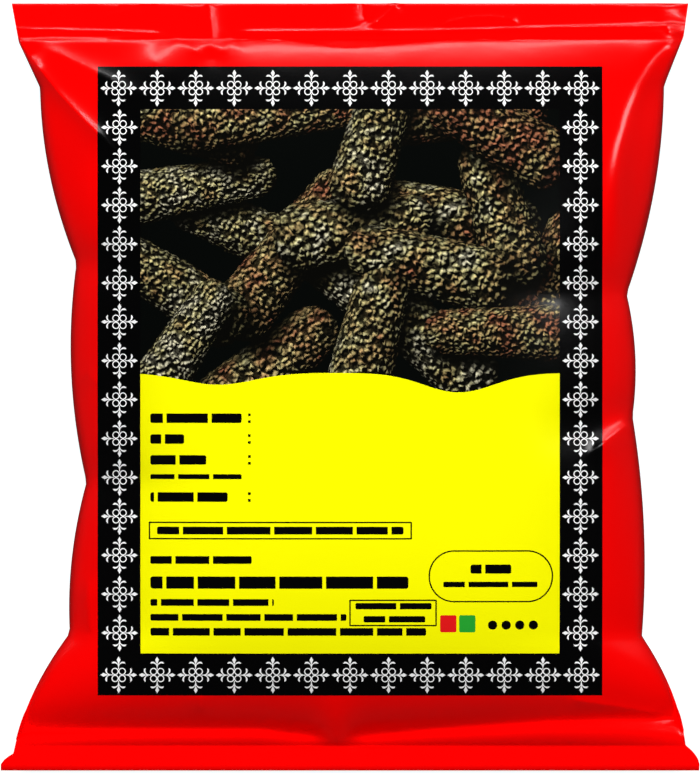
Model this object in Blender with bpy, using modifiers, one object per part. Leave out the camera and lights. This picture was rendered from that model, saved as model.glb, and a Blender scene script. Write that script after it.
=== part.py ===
"""Filled pillow pack of long pepper: one printed film wrapped round loose dried spikes.

The pack lies on its seam side with the printed panel up. +Y runs to the top seal, +Z is up,
and the origin is under the middle of the pack, on the surface that it rests on.
"""

import math
import random

import bmesh
import bpy
import numpy as np
from mathutils import Matrix, Vector

MM = 0.001

# Film: one sheet, wrapped into a tube and closed by a lengthwise fin and two end seals
FILM = 0.30 * MM            # wall of the film
WELD_GAP = 0.30 * MM        # between two film layers that are welded or lie on each other
LAYER = FILM + WELD_GAP
FLAT_R = FILM + WELD_GAP / 2  # outer radius of a side fold where the tube is pressed flat

# Pack: driving dimensions
TOP_CUT = 85.0 * MM         # top cut edge
TOP_SEAL = 77.0 * MM        # inner edge of the top seal
BOTTOM_SEAL = -79.5 * MM    # inner edge of the bottom seal
BOTTOM_CUT = -85.0 * MM     # bottom cut edge
SEAL_RISE = 16.5 * MM       # height of the end seals over the table
CROWN = 16.5 * MM           # rise of the printed side, from the seals to its flat crown
BELLY = 13.5 * MM           # drop of the seam side, before the table flattens it
SIDE_R = 8.5 * MM           # radius of the side folds at the middle of the pack
PANEL_POWER = 3.8           # how flat the panels are across the pack
FILL_POWER = 2.5            # how flat the pack is along its length
FILL_ROOT = 1.25            # how steeply the film leaves the end seals
TABLE_BLEND = 1.2 * MM      # over this height the film lifts off the table

# Fin: the two long edges of the film, welded face to face and folded flat to +X
FIN_ROOT = -6.0 * MM
FIN_TIP = 6.0 * MM
FIN_RAMP = 8.0 * MM         # the panels settle to their own level over this width
FIN_STEP = 2 * LAYER        # what the fin adds under the panel
FIN_LIFT_BAND = 22.0 * MM   # near the end seals the fin hangs under the film, elsewhere it lifts it

# Side outlines from the bottom cut edge up: (place along Y, distance from the centre line,
# how far the stretch up to the next knot bows outwards). The inner knots are the puckers.
LEFT_SIDE = (
    (-85.0 * MM, 77.4 * MM, 1.1 * MM),
    (-81.2 * MM, 74.6 * MM, 1.9 * MM),
    (-54.5 * MM, 62.1 * MM, 1.4 * MM),
    (-21.1 * MM, 58.4 * MM, 2.3 * MM),
    (27.5 * MM, 60.6 * MM, 1.9 * MM),
    (66.3 * MM, 68.7 * MM, 0.0 * MM),
    (76.4 * MM, 73.4 * MM, 0.0 * MM),
    (85.0 * MM, 75.0 * MM, 0.0 * MM),
)
RIGHT_SIDE = (
    (-85.0 * MM, 77.4 * MM, 1.1 * MM),
    (-79.4 * MM, 74.4 * MM, 1.7 * MM),
    (-55.2 * MM, 64.7 * MM, 1.5 * MM),
    (-6.5 * MM, 62.6 * MM, 1.3 * MM),
    (20.6 * MM, 61.3 * MM, 2.0 * MM),
    (66.7 * MM, 69.6 * MM, 0.0 * MM),
    (77.6 * MM, 73.9 * MM, 0.0 * MM),
    (85.0 * MM, 75.0 * MM, 0.0 * MM),
)

# Creases: (x, y) at the side or seal, (x, y) inside the panel, half width, depth
CREASES = (
    ((-64, -54.5), (-36, -47.0), 4.5, 1.6),
    ((-60, -21.1), (-33, -21.0), 5.0, 2.0),
    ((-62, 27.5), (-38, 20.0), 4.5, 1.8),
    ((-70, 66.3), (-44, 50.0), 5.0, 1.8),
    ((66, -55.2), (40, -46.0), 4.5, 1.6),
    ((64, -6.5), (36, -12.0), 5.0, 2.0),
    ((63, 20.6), (38, 26.0), 4.5, 1.8),
    ((71, 66.7), (42, 52.0), 5.0, 1.8),
)

# Mesh density
PANEL_STEPS = 16            # across the printed panel
SEAM_STEPS = 5              # across each half of the seam side, outside the fin
FOLD_STEPS = 4              # round each side fold
TURN_STEPS = 4              # round the film's turn at the fin's root
ROW_GAP = 4.6 * MM          # greatest distance between rows along the pack

# Contents
SPIKE_COUNT = 40
SPIKE_LENGTHS = (30 * MM, 34 * MM, 38 * MM, 42 * MM)
SPIKE_RADIUS = 4.2 * MM     # over the fruitlets, at the widest
SPIKE_BUMP = 0.13           # how far the fruitlets stand out, as a share of the radius
SPIKE_SIDES = 10
SPIKE_SEED = 11
SPIKE_TRIES = 90            # places looked at for each spike, of which the lowest is taken
SPIKE_GAP = 0.3 * MM
# Stalk, shoulder, body and tip: (share of the length, share of the radius)
SPIKE_PROFILE = (
    (0.02, 0.20), (0.10, 0.22), (0.13, 0.70), (0.20, 0.93), (0.30, 1.00), (0.41, 1.00),
    (0.52, 0.98), (0.63, 0.95), (0.74, 0.89), (0.85, 0.79), (0.95, 0.52),
)
SMOOTH_RINGS = 3            # the stalk's rings and the shoulder bear no fruitlets

FILM_COLOUR = (0.78, 0.01, 0.01, 1.0)
SPIKE_COLOUR = (0.13, 0.10, 0.06, 1.0)


def clear_scene():
    for item in list(bpy.data.objects):
        bpy.data.objects.remove(item)


def material(name, colour, roughness):
    made = bpy.data.materials.new(name)
    made.use_nodes = True
    shader = made.node_tree.nodes["Principled BSDF"]
    shader.inputs["Base Color"].default_value = colour
    shader.inputs["Roughness"].default_value = roughness
    shader.inputs["Metallic"].default_value = 0.0
    return made


def side_reach(knots, y):
    """Distance of a side from the centre line: arcs between its knots."""
    for (y0, reach0, bow), (y1, reach1, _) in zip(knots, knots[1:]):
        if y <= y1:
            t = min(1.0, max(0.0, (y - y0) / (y1 - y0)))
            return reach0 + (reach1 - reach0) * t + 4 * bow * t * (1 - t)
    return knots[-1][1]


def fill_at(y):
    """How full the pack is at y: 0 in the end seals and 1 at the middle."""
    v = (y - BOTTOM_SEAL) / (TOP_SEAL - BOTTOM_SEAL)
    if not 0 < v < 1:
        return 0.0
    return (1 - abs(2 * v - 1) ** FILL_POWER) ** (1 / FILL_ROOT)


def smooth(t):
    t = min(1.0, max(0.0, t))
    return t * t * (3 - 2 * t)


def settle(z):
    """Height of the film over the table: never below it, and flat where it lies on it."""
    if z <= -TABLE_BLEND:
        return 0.0
    if z >= TABLE_BLEND:
        return z
    return (z + TABLE_BLEND) ** 2 / (4 * TABLE_BLEND)


def crease_depth(x, y):
    """How far the creases draw the film in at this place."""
    depth = 0.0
    for start, end, half_width, drop in CREASES:
        ax, ay = start[0] * MM, start[1] * MM
        bx, by = end[0] * MM, end[1] * MM
        along_x, along_y = bx - ax, by - ay
        length = math.hypot(along_x, along_y)
        t = ((x - ax) * along_x + (y - ay) * along_y) / length**2
        aside = abs((x - ax) * along_y - (y - ay) * along_x) / length
        fade = 1 - smooth(t) if t > 0 else 1.0
        depth += drop * MM * fade * math.exp(-((aside / (half_width * MM)) ** 2))
    return depth


class Section:
    """The film's outer face across the pack at one y, as points of the XZ plane."""

    def __init__(self, y):
        self.y = y
        self.fill = fill_at(y)
        self.fold_r = FLAT_R + (SIDE_R - FLAT_R) * self.fill
        left = -side_reach(LEFT_SIDE, y) + self.fold_r
        right = side_reach(RIGHT_SIDE, y) - self.fold_r
        self.centre = (left + right) / 2
        self.half = (right - left) / 2
        from_seal = min(TOP_SEAL - y, y - BOTTOM_SEAL)
        self.fin_lift = FIN_STEP * smooth(from_seal / FIN_LIFT_BAND)

    def face_angle(self, s, rise):
        """Angle of the panel's normal from +X, for a panel that rises or drops."""
        slope = -rise * PANEL_POWER * abs(s) ** (PANEL_POWER - 1) * math.copysign(1, s)
        return math.atan2(1, -slope / self.half)

    def panel_point(self, s, rise, up):
        """Outer face of a panel at s from -1 to 1 across it: up is 1 for the top, -1 below."""
        angle = up * self.face_angle(s, rise)
        return self.fold_point(s, rise * (1 - abs(s) ** PANEL_POWER) * up, angle)

    def fold_point(self, s, height, angle):
        x = self.centre + s * self.half + self.fold_r * math.cos(angle)
        z = SEAL_RISE + height + self.fold_r * math.sin(angle)
        # The outlines already hold the pucker's notch, so a crease only draws the panels in
        inset = crease_depth(x, self.y) * self.fill * math.sin(angle)
        return x, z - inset

    def fold(self, side):
        """Points round a side fold, from the printed panel down to the seam side."""
        first = self.face_angle(side, CROWN * self.fill)
        last = -self.face_angle(side, BELLY * self.fill)
        if side < 0 and last < 0:
            last += 2 * math.pi
        steps = [k / FOLD_STEPS for k in range(1, FOLD_STEPS)]
        return [self.fold_point(side, 0.0, first + (last - first) * t) for t in steps]

    def belly(self, x):
        """Height of the seam side at x near the fin, before the fin's own steps."""
        s = (x - self.centre) / self.half
        drop = BELLY * self.fill * (1 - abs(s) ** PANEL_POWER)
        return settle(SEAL_RISE - drop - self.fold_r)

    def top(self):
        turns = [math.pi * (k / PANEL_STEPS - 0.5) for k in range(PANEL_STEPS + 1)]
        return [self.panel_point(math.sin(a), CROWN * self.fill, 1) for a in turns]

    def seam_half(self, side):
        """Seam side from a side fold in to where the fin's ramp starts."""
        inner_x = FIN_TIP + FIN_RAMP if side > 0 else FIN_ROOT - FIN_RAMP
        inner = (inner_x - self.centre) / self.half
        points = []
        for k in range(SEAM_STEPS):
            s = inner + (side - inner) * math.cos(0.5 * math.pi * k / SEAM_STEPS)
            x, z = self.panel_point(s, BELLY * self.fill, -1)
            points.append((x, settle(z)))
        return points + [(inner_x, self.belly(inner_x))]

    def points(self):
        """Round the pack: under fin layer, left, over the top, right, upper fin layer."""
        hang = FIN_STEP - self.fin_lift
        under = [(x, self.belly(x) - hang) for x in (FIN_TIP, 0.0, FIN_ROOT)]
        left = self.seam_half(-1)[::-1]
        right = self.seam_half(1)
        over = [(x, self.belly(x) + self.fin_lift) for x in (FIN_TIP, 0.0, FIN_ROOT)]
        turn_r = WELD_GAP / 2
        root_x, root_z = over[-1]
        turns = [math.pi * (0.5 + k / TURN_STEPS) for k in range(1, TURN_STEPS)]
        turn = [
            (root_x + turn_r * math.cos(a), root_z - turn_r + turn_r * math.sin(a))
            for a in turns
        ]
        upper = [(x, self.belly(x) + self.fin_lift - WELD_GAP) for x in (FIN_ROOT, 0.0, FIN_TIP)]
        left_fold = self.fold(-1)[::-1]
        return under + left + left_fold + self.top() + self.fold(1) + right + over + turn + upper


def row_places():
    """Places along Y of the film's rows: at every knot, and no further apart than ROW_GAP."""
    marks = {BOTTOM_CUT, BOTTOM_SEAL, TOP_SEAL, TOP_CUT}
    for knots in (LEFT_SIDE, RIGHT_SIDE):
        marks |= {y for y, _, _ in knots}
    marks |= {BOTTOM_SEAL + 3 * MM, TOP_SEAL - 3 * MM}
    kept = [BOTTOM_CUT]
    for y in sorted(marks)[1:]:
        if y - kept[-1] < 1.0 * MM and y < TOP_CUT:
            continue
        steps = math.ceil((y - kept[-1]) / ROW_GAP)
        start = kept[-1]
        kept += [start + (y - start) * (k + 1) / steps for k in range(steps)]
    return kept


def make_film(collection):
    rows = row_places()
    sections = [Section(y).points() for y in rows]
    columns = len(sections[0])
    bpy.ops.mesh.primitive_grid_add(
        x_subdivisions=columns - 1, y_subdivisions=len(rows) - 1, size=2.0
    )
    film = bpy.context.object
    film.name = film.data.name = "pouch_film"
    for vertex in film.data.vertices:
        i = round((vertex.co.x + 1) / 2 * (columns - 1))
        j = round((vertex.co.y + 1) / 2 * (len(rows) - 1))
        x, z = sections[j][i]
        vertex.co = (x, rows[j], z)
    wall = film.modifiers.new("film wall", "SOLIDIFY")
    wall.thickness = FILM
    wall.offset = -1.0
    film.data.materials.append(material("printed_film", FILM_COLOUR, 0.3))
    film.data.shade_smooth()
    move_to(film, collection)
    return film


def spike_mesh(length, number):
    """A catkin of fruitlets: bumps in a chequer round a turned profile, lying along X."""
    rings = len(SPIKE_PROFILE) + 1
    form = bmesh.new()
    bmesh.ops.create_uvsphere(form, u_segments=SPIKE_SIDES, v_segments=rings, radius=1.0)
    for vertex in form.verts:
        ring = round(math.acos(max(-1.0, min(1.0, vertex.co.z))) / math.pi * rings)
        turn = math.atan2(vertex.co.y, vertex.co.x)
        side = round(turn / (2 * math.pi) * SPIKE_SIDES)
        if ring in (0, rings):
            vertex.co = ((ring / rings - 0.5) * length, 0, 0)
            continue
        share, width = SPIKE_PROFILE[ring - 1]
        bump = SPIKE_BUMP * (((ring + side) % 2) - 1) if ring > SMOOTH_RINGS else 0.0
        radius = SPIKE_RADIUS * width * (1 + bump)
        vertex.co = ((share - 0.5) * length, radius * math.cos(turn), radius * math.sin(turn))
    form.normal_update()
    bmesh.ops.recalc_face_normals(form, faces=form.faces)
    mesh = bpy.data.meshes.new(f"spike_form_{number}")
    form.to_mesh(mesh)
    form.free()
    return mesh


class Cavity:
    """Room inside the film: floor and ceiling heights on a grid."""

    STEP = 1.5 * MM

    def __init__(self):
        self.xs = np.arange(-80 * MM, 80 * MM, self.STEP)
        self.ys = np.arange(BOTTOM_SEAL, TOP_SEAL, self.STEP)
        self.floor = np.full((len(self.ys), len(self.xs)), 1.0)
        self.ceiling = np.full((len(self.ys), len(self.xs)), -1.0)
        for j, y in enumerate(self.ys):
            section = Section(y)
            if section.fill <= 0.05:
                continue
            low = section.seam_half(-1)[::-1] + section.seam_half(1)[::-1]
            low = sorted(low)
            high = section.top()
            inside = (self.xs > high[0][0]) & (self.xs < high[-1][0])
            under = np.interp(self.xs, [p[0] for p in low], [p[1] for p in low])
            over = np.interp(self.xs, [p[0] for p in high], [p[1] for p in high])
            self.floor[j, inside] = under[inside] + FILM + FIN_STEP
            self.ceiling[j, inside] = over[inside] - FILM

    def heights(self, points):
        j = np.clip(((points[:, 1] - self.ys[0]) / self.STEP).round().astype(int), 0, len(self.ys) - 1)
        i = np.clip(((points[:, 0] - self.xs[0]) / self.STEP).round().astype(int), 0, len(self.xs) - 1)
        return self.floor[j, i], self.ceiling[j, i]


def apart(a0, a1, b0, b1):
    """Least distance in plan between two straight axes."""
    def cross(p, q):
        return p[0] * q[1] - p[1] * q[0]

    da, db, r = a1 - a0, b1 - b0, b0 - a0
    spread = cross(da, db)
    if abs(spread) > 1e-12:
        t, u = cross(r, db) / spread, cross(r, da) / spread
        if 0 <= t <= 1 and 0 <= u <= 1:
            return 0.0
    ends = []
    for p, q0, q1 in ((a0, b0, b1), (a1, b0, b1), (b0, a0, a1), (b1, a0, a1)):
        d = q1 - q0
        t = min(1.0, max(0.0, float(np.dot(p - q0, d) / np.dot(d, d))))
        ends.append(float(np.linalg.norm(p - q0 - t * d)))
    return min(ends)


def lowest_rest(cavity, placed, middle, heading, length):
    """Height at which a spike comes to rest at this place, or None where it doesn't fit."""
    along = np.array((math.cos(heading), math.sin(heading)))
    across = np.array((-along[1], along[0]))
    reach = SPIKE_RADIUS + SPIKE_GAP
    core = length / 2 - SPIKE_RADIUS
    ends = middle - along * core, middle + along * core
    spots = np.array([
        middle + along * a + across * b
        for a in np.linspace(-length / 2 - SPIKE_GAP, length / 2 + SPIKE_GAP, 9)
        for b in (-reach, -reach * 0.5, 0.0, reach * 0.5, reach)
    ])
    offsets = np.tile([0.0, reach * 0.86, reach, reach * 0.86, 0.0], 9)
    floor, ceiling = cavity.heights(spots)
    if (ceiling < floor).any():
        return None
    z = float((floor + offsets).max())
    for other_ends, other_z in placed:
        gap = apart(*ends, *other_ends)
        if gap < 2 * reach:
            z = max(z, other_z + math.sqrt((2 * reach) ** 2 - gap**2))
    if (ceiling < z + offsets + SPIKE_GAP).any():
        return None
    return z


def pile_spikes():
    """Drops the spikes one after another, each to the lowest of the places that it tries."""
    draw = random.Random(SPIKE_SEED)
    cavity = Cavity()
    placed, poses = [], []
    for n in range(SPIKE_COUNT):
        length = SPIKE_LENGTHS[n % len(SPIKE_LENGTHS)]
        best = None
        for _ in range(SPIKE_TRIES):
            middle = np.array((draw.uniform(-48, 48) * MM, draw.uniform(-62, 62) * MM))
            heading = draw.uniform(0, 2 * math.pi)
            z = lowest_rest(cavity, placed, middle, heading, length)
            if z is not None and (best is None or z < best[0]):
                best = z, middle, heading
        if best is None:
            continue
        z, middle, heading = best
        along = np.array((math.cos(heading), math.sin(heading)))
        core = length / 2 - SPIKE_RADIUS
        placed.append(((middle - along * core, middle + along * core), z))
        poses.append((n % len(SPIKE_LENGTHS), Vector((*middle, z)), heading, draw.uniform(0, 6.28)))
    return poses


def make_spikes(collection):
    finish = material("dried_spike", SPIKE_COLOUR, 0.85)
    forms = [spike_mesh(length, n) for n, length in enumerate(SPIKE_LENGTHS)]
    for form in forms:
        form.materials.append(finish)
    for n, (kind, place, heading, roll) in enumerate(pile_spikes(), start=1):
        spike = bpy.data.objects.new(f"spike_{n:02d}", forms[kind])
        turned = Matrix.Rotation(heading, 4, "Z") @ Matrix.Rotation(roll, 4, "X")
        spike.matrix_world = Matrix.Translation(place) @ turned
        collection.objects.link(spike)
    print("spikes placed:", n)


def move_to(item, collection):
    for holder in item.users_collection:
        holder.objects.unlink(item)
    collection.objects.link(item)


def main():
    clear_scene()
    pack = bpy.data.collections.new("long_pepper_pack")
    bpy.context.scene.collection.children.link(pack)
    make_film(pack)
    make_spikes(pack)


main()
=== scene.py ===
# %% [markdown]
# # A sealed packet of dried long pepper
#
# The object is a pillow packet: one sheet of glossy red film, wrapped into a tube, welded along
# its back and across both ends, and filled with loose dried spikes. It lies on its seam side and
# is looked at from straight above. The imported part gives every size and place. This script makes
# the surface: the folds of the film, the print on it, and the knobbly spikes inside.

# %% Load the fixed frame
import math
import random
from functools import partialmethod

import bmesh
import bpy
import numpy as np
from mathutils import Matrix, Vector


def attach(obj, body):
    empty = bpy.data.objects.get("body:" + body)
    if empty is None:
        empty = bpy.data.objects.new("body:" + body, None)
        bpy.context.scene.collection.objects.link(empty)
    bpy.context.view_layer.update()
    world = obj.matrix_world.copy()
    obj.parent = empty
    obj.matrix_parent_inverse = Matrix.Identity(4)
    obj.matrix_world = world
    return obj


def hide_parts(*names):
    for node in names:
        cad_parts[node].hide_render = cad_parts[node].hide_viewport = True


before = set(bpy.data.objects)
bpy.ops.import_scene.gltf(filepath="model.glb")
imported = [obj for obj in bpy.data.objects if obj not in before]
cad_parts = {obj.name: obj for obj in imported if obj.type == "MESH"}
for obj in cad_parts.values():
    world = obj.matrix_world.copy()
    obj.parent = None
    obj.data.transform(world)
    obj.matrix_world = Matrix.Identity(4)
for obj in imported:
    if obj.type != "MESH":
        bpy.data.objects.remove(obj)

MM = 0.001
scene = bpy.context.scene
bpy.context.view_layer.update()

# %% [markdown]
# ## Camera
#
# The packet fills the picture and shows no side at all, so the camera looks straight down. A very
# long lens from far away keeps the crown of the packet from looking larger than its seals. The
# lens follows from the picture's height at the level of the end seals.

# %% Camera
VIEW_HEIGHT = 171.3 * MM  # what the picture takes in from top to bottom
VIEW_LEVEL = 16.5 * MM  # at the level of the end seals
CAMERA_RISE = 5.0
SENSOR = 36.0


def make_camera():
    data = bpy.data.cameras.new("camera")
    data.sensor_width = SENSOR
    data.lens = SENSOR * (CAMERA_RISE - VIEW_LEVEL) / VIEW_HEIGHT
    data.clip_end = 3 * CAMERA_RISE
    camera = bpy.data.objects.new("camera", data)
    camera.location = (0.0, 0.1 * MM, CAMERA_RISE)
    scene.collection.objects.link(camera)
    scene.camera = camera
    print("camera lens in mm:", round(data.lens))


make_camera()

# %% [markdown]
# ## The outline of the film
#
# Full film is shorter across than flat film. The end seals hold their flat width, the filled
# middle draws in, and the surplus at the sides gathers in sharp puckers. So each side is a row of
# arcs that bow outwards and meet at the puckers. A list of knots with a bow for each stretch says
# that in a few numbers.

# %% Side outlines
# (place along Y, distance from the centre line, bow of the stretch up to the next knot)
LEFT_SIDE = (
    (-85.0, 77.4, 1.1), (-81.2, 74.6, 1.9), (-54.5, 62.1, 1.4), (-21.1, 58.4, 2.3),
    (27.5, 60.6, 1.9), (66.3, 68.7, 0.0), (76.4, 73.4, 0.0), (85.0, 75.0, 0.0),
)
RIGHT_SIDE = (
    (-85.0, 77.4, 1.1), (-79.4, 74.4, 1.7), (-55.2, 64.7, 1.5), (-6.5, 62.6, 1.3),
    (20.6, 61.3, 2.0), (66.7, 69.6, 0.0), (77.6, 73.9, 0.0), (85.0, 75.0, 0.0),
)


def side_reach(knots, y):
    """Distance of a side from the centre line at y, both in millimetres."""
    places = [knot[0] for knot in knots]
    i = min(max(np.searchsorted(places, y, side="right") - 1, 0), len(knots) - 2)
    (y0, reach0, bow), (y1, reach1, _) = knots[i], knots[i + 1]
    t = min(1.0, max(0.0, (y - y0) / (y1 - y0)))
    return reach0 + (reach1 - reach0) * t + 4 * bow * t * (1 - t)


print("width at the middle:", round(side_reach(LEFT_SIDE, 0) + side_reach(RIGHT_SIDE, 0), 1), "mm")

# %% [markdown]
# ## The film across the packet
#
# Cut across, the film is one line: the inner layer of the fin, the seam side, a round side fold,
# the printed panel over the top, the other fold, and back to the fin. Each cut is worked out from
# how full the packet is there. The table pushes the seam side flat. Real film is about 0.1 mm
# thick, so the layers lie much closer here than in the solid that carries the weight.

# %% Sizes of the film, in millimetres
FILM = 0.14
WELD_GAP = 0.04
FLAT_R = FILM + WELD_GAP / 2
FIN_STEP = 2 * (FILM + WELD_GAP)
BOTTOM_CUT, BOTTOM_SEAL, TOP_SEAL, TOP_CUT = -85.0, -79.5, 77.0, 85.0
SEAL_RISE, CROWN, BELLY, SIDE_R = 16.5, 16.5, 13.5, 8.5
PANEL_POWER, FILL_POWER, FILL_ROOT = 3.8, 2.5, 1.25
TABLE_BLEND = 1.2
FIN_ROOT, FIN_TIP, FIN_RAMP, FIN_LIFT_BAND = -6.0, 6.0, 8.0, 22.0


def smooth(t):
    t = np.clip(t, 0.0, 1.0)
    return t * t * (3 - 2 * t)


def fill_at(y):
    """How full the packet is at y: 0 in the end seals and 1 at the middle."""
    v = (y - BOTTOM_SEAL) / (TOP_SEAL - BOTTOM_SEAL)
    if not 0 < v < 1:
        return 0.0
    return (1 - abs(2 * v - 1) ** FILL_POWER) ** (1 / FILL_ROOT)


def settle(z):
    """Film that would reach under the table lies on it instead."""
    if z <= -TABLE_BLEND:
        return 0.0
    if z >= TABLE_BLEND:
        return z
    return (z + TABLE_BLEND) ** 2 / (4 * TABLE_BLEND)


print("packet thickness:", SEAL_RISE + CROWN + SIDE_R, "mm")

# %% [markdown]
# The same puckers that notch the outline run a little way into the film and draw it in. They are
# part of the solid too. The finer folds come later, because they lie on the printed side alone.

# %% Puckers
# (x, y) at the side, (x, y) inside the panel, half width, depth
PUCKERS = (
    ((-64, -54.5), (-36, -47.0), 4.5, 1.6), ((-60, -21.1), (-33, -21.0), 5.0, 2.0),
    ((-62, 27.5), (-38, 20.0), 4.5, 1.8), ((-70, 66.3), (-44, 50.0), 5.0, 1.8),
    ((66, -55.2), (40, -46.0), 4.5, 1.6), ((64, -6.5), (36, -12.0), 5.0, 2.0),
    ((63, 20.6), (38, 26.0), 4.5, 1.8), ((71, 66.7), (42, 52.0), 5.0, 1.8),
)


def pucker_depth(x, y):
    depth = 0.0
    for (ax, ay), (bx, by), half_width, drop in PUCKERS:
        along_x, along_y = bx - ax, by - ay
        length = math.hypot(along_x, along_y)
        t = ((x - ax) * along_x + (y - ay) * along_y) / length**2
        aside = ((x - ax) * along_y - (y - ay) * along_x) / length
        depth += drop * (1 - smooth(t)) * math.exp(-((aside / half_width) ** 2))
    return depth


print("puckers:", len(PUCKERS))

# %% One cut through the film
PANEL_STEPS, SEAM_STEPS, FOLD_STEPS, TURN_STEPS, FIN_STEPS = 90, 10, 9, 4, 3
ASIDE = 2.0  # stands for a place that is not on the printed panel
CROWDING = 0.4  # how much closer together the points lie by the side folds
even = np.linspace(-1, 1, PANEL_STEPS + 1)
PANEL_PLACES = (1 - CROWDING) * even + CROWDING * np.sin(math.pi * even / 2)


class Cut:
    """The film's outer face across the packet at one y: points of the XZ plane, a mark that is
    1 on the printed side and 0 elsewhere, and the place across the printed panel, from -1 to 1."""

    def __init__(self, y):
        self.y = y
        self.fill = fill_at(y)
        self.fold_r = FLAT_R + (SIDE_R - FLAT_R) * self.fill
        left = -side_reach(LEFT_SIDE, y) + self.fold_r
        right = side_reach(RIGHT_SIDE, y) - self.fold_r
        self.centre, self.half = (left + right) / 2, (right - left) / 2
        from_seal = min(TOP_SEAL - y, y - BOTTOM_SEAL)
        self.fin_lift = FIN_STEP * smooth(from_seal / FIN_LIFT_BAND)

    def angle(self, s, rise):
        """Angle from +X of the panel's normal at s, from -1 to 1 across the panel."""
        slope = -rise * PANEL_POWER * abs(s) ** (PANEL_POWER - 1) * math.copysign(1, s)
        return math.atan2(1, -slope / self.half)

    def offset(self, s, height, angle):
        """Point of the outer face: the fold radius out from the panel's core line."""
        x = self.centre + s * self.half + self.fold_r * math.cos(angle)
        z = SEAL_RISE + height + self.fold_r * math.sin(angle)
        inset = pucker_depth(x, self.y) * self.fill * math.sin(angle)
        return x, z - inset

    def panel(self, s, rise, up):
        height = rise * (1 - abs(s) ** PANEL_POWER)
        return self.offset(s, up * height, up * self.angle(s, rise))

    def top(self, s):
        return self.panel(s, CROWN * self.fill, 1)

    def fold(self, side):
        first = self.angle(side, CROWN * self.fill)
        last = -self.angle(side, BELLY * self.fill)
        if side < 0 and last < 0:
            last += 2 * math.pi
        steps = [k / FOLD_STEPS for k in range(1, FOLD_STEPS)]
        return [self.offset(side, 0.0, first + (last - first) * t) for t in steps]

    def belly(self, x):
        s = (x - self.centre) / self.half
        drop = BELLY * self.fill * (1 - abs(s) ** PANEL_POWER)
        return settle(SEAL_RISE - drop - self.fold_r)

    def seam_half(self, side):
        inner_x = FIN_TIP + FIN_RAMP if side > 0 else FIN_ROOT - FIN_RAMP
        inner = (inner_x - self.centre) / self.half
        points = []
        for k in range(SEAM_STEPS):
            s = inner + (side - inner) * math.cos(0.5 * math.pi * k / SEAM_STEPS)
            x, z = self.panel(s, BELLY * self.fill, -1)
            points.append((x, settle(z)))
        return points + [(inner_x, self.belly(inner_x))]

    def level(self, x0, x1, rise):
        """A run of film under the belly from x0 to x1, held a rise over it."""
        xs = np.linspace(x0, x1, FIN_STEPS + 1)
        return [(x, self.belly(x) + rise) for x in xs]

    def line(self):
        under = self.level(FIN_TIP, FIN_ROOT, self.fin_lift - FIN_STEP)
        over = self.level(FIN_TIP, FIN_ROOT, self.fin_lift)
        upper = self.level(FIN_ROOT, FIN_TIP, self.fin_lift - WELD_GAP)
        root_x, root_z = over[-1]
        turn_r = WELD_GAP / 2
        angles = [math.pi * (0.5 + k / TURN_STEPS) for k in range(1, TURN_STEPS)]
        turn = [
            (root_x + turn_r * math.cos(a), root_z - turn_r + turn_r * math.sin(a))
            for a in angles
        ]
        top = [self.top(s) for s in PANEL_PLACES]
        runs = (
            (under, 0, -ASIDE), (self.seam_half(-1)[::-1], 0, -ASIDE),
            (self.fold(-1)[::-1], 1, -ASIDE), (top, 1, PANEL_PLACES), (self.fold(1), 1, ASIDE),
            (self.seam_half(1), 0, ASIDE), (over, 0, ASIDE), (turn, 0, ASIDE), (upper, 0, ASIDE),
        )
        points = [point for run, _, _ in runs for point in run]
        marks = [mark for run, mark, _ in runs for _ in run]
        places = np.concatenate([np.broadcast_to(place, len(run)) for run, _, place in runs])
        return points, marks, places


print("points across the film:", len(Cut(0).line()[0]))

# %% [markdown]
# ## Folds in the printed side
#
# Thin glossy film shows every fold as a bright line with a dark flank, so the folds are real
# geometry and not only shading. A fold is a short path with a sharp crest, or a sharp valley
# where its height is negative, and it falls off faster on one side than on the other. Left and
# right are seen along the path. In the welded ends both layers move together, which the film has
# to do there, and past the seals only the printed side moves.

# %% Folds near the top seal, the sides and the bottom seal
FAN_EDGE = ((-71.4, 74.2), (-67.6, 69.1), (-64.3, 64.9), (-59.8, 60.1), (-55.8, 56.1),
            (-52.3, 52.5), (-49.2, 49.6))
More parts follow.
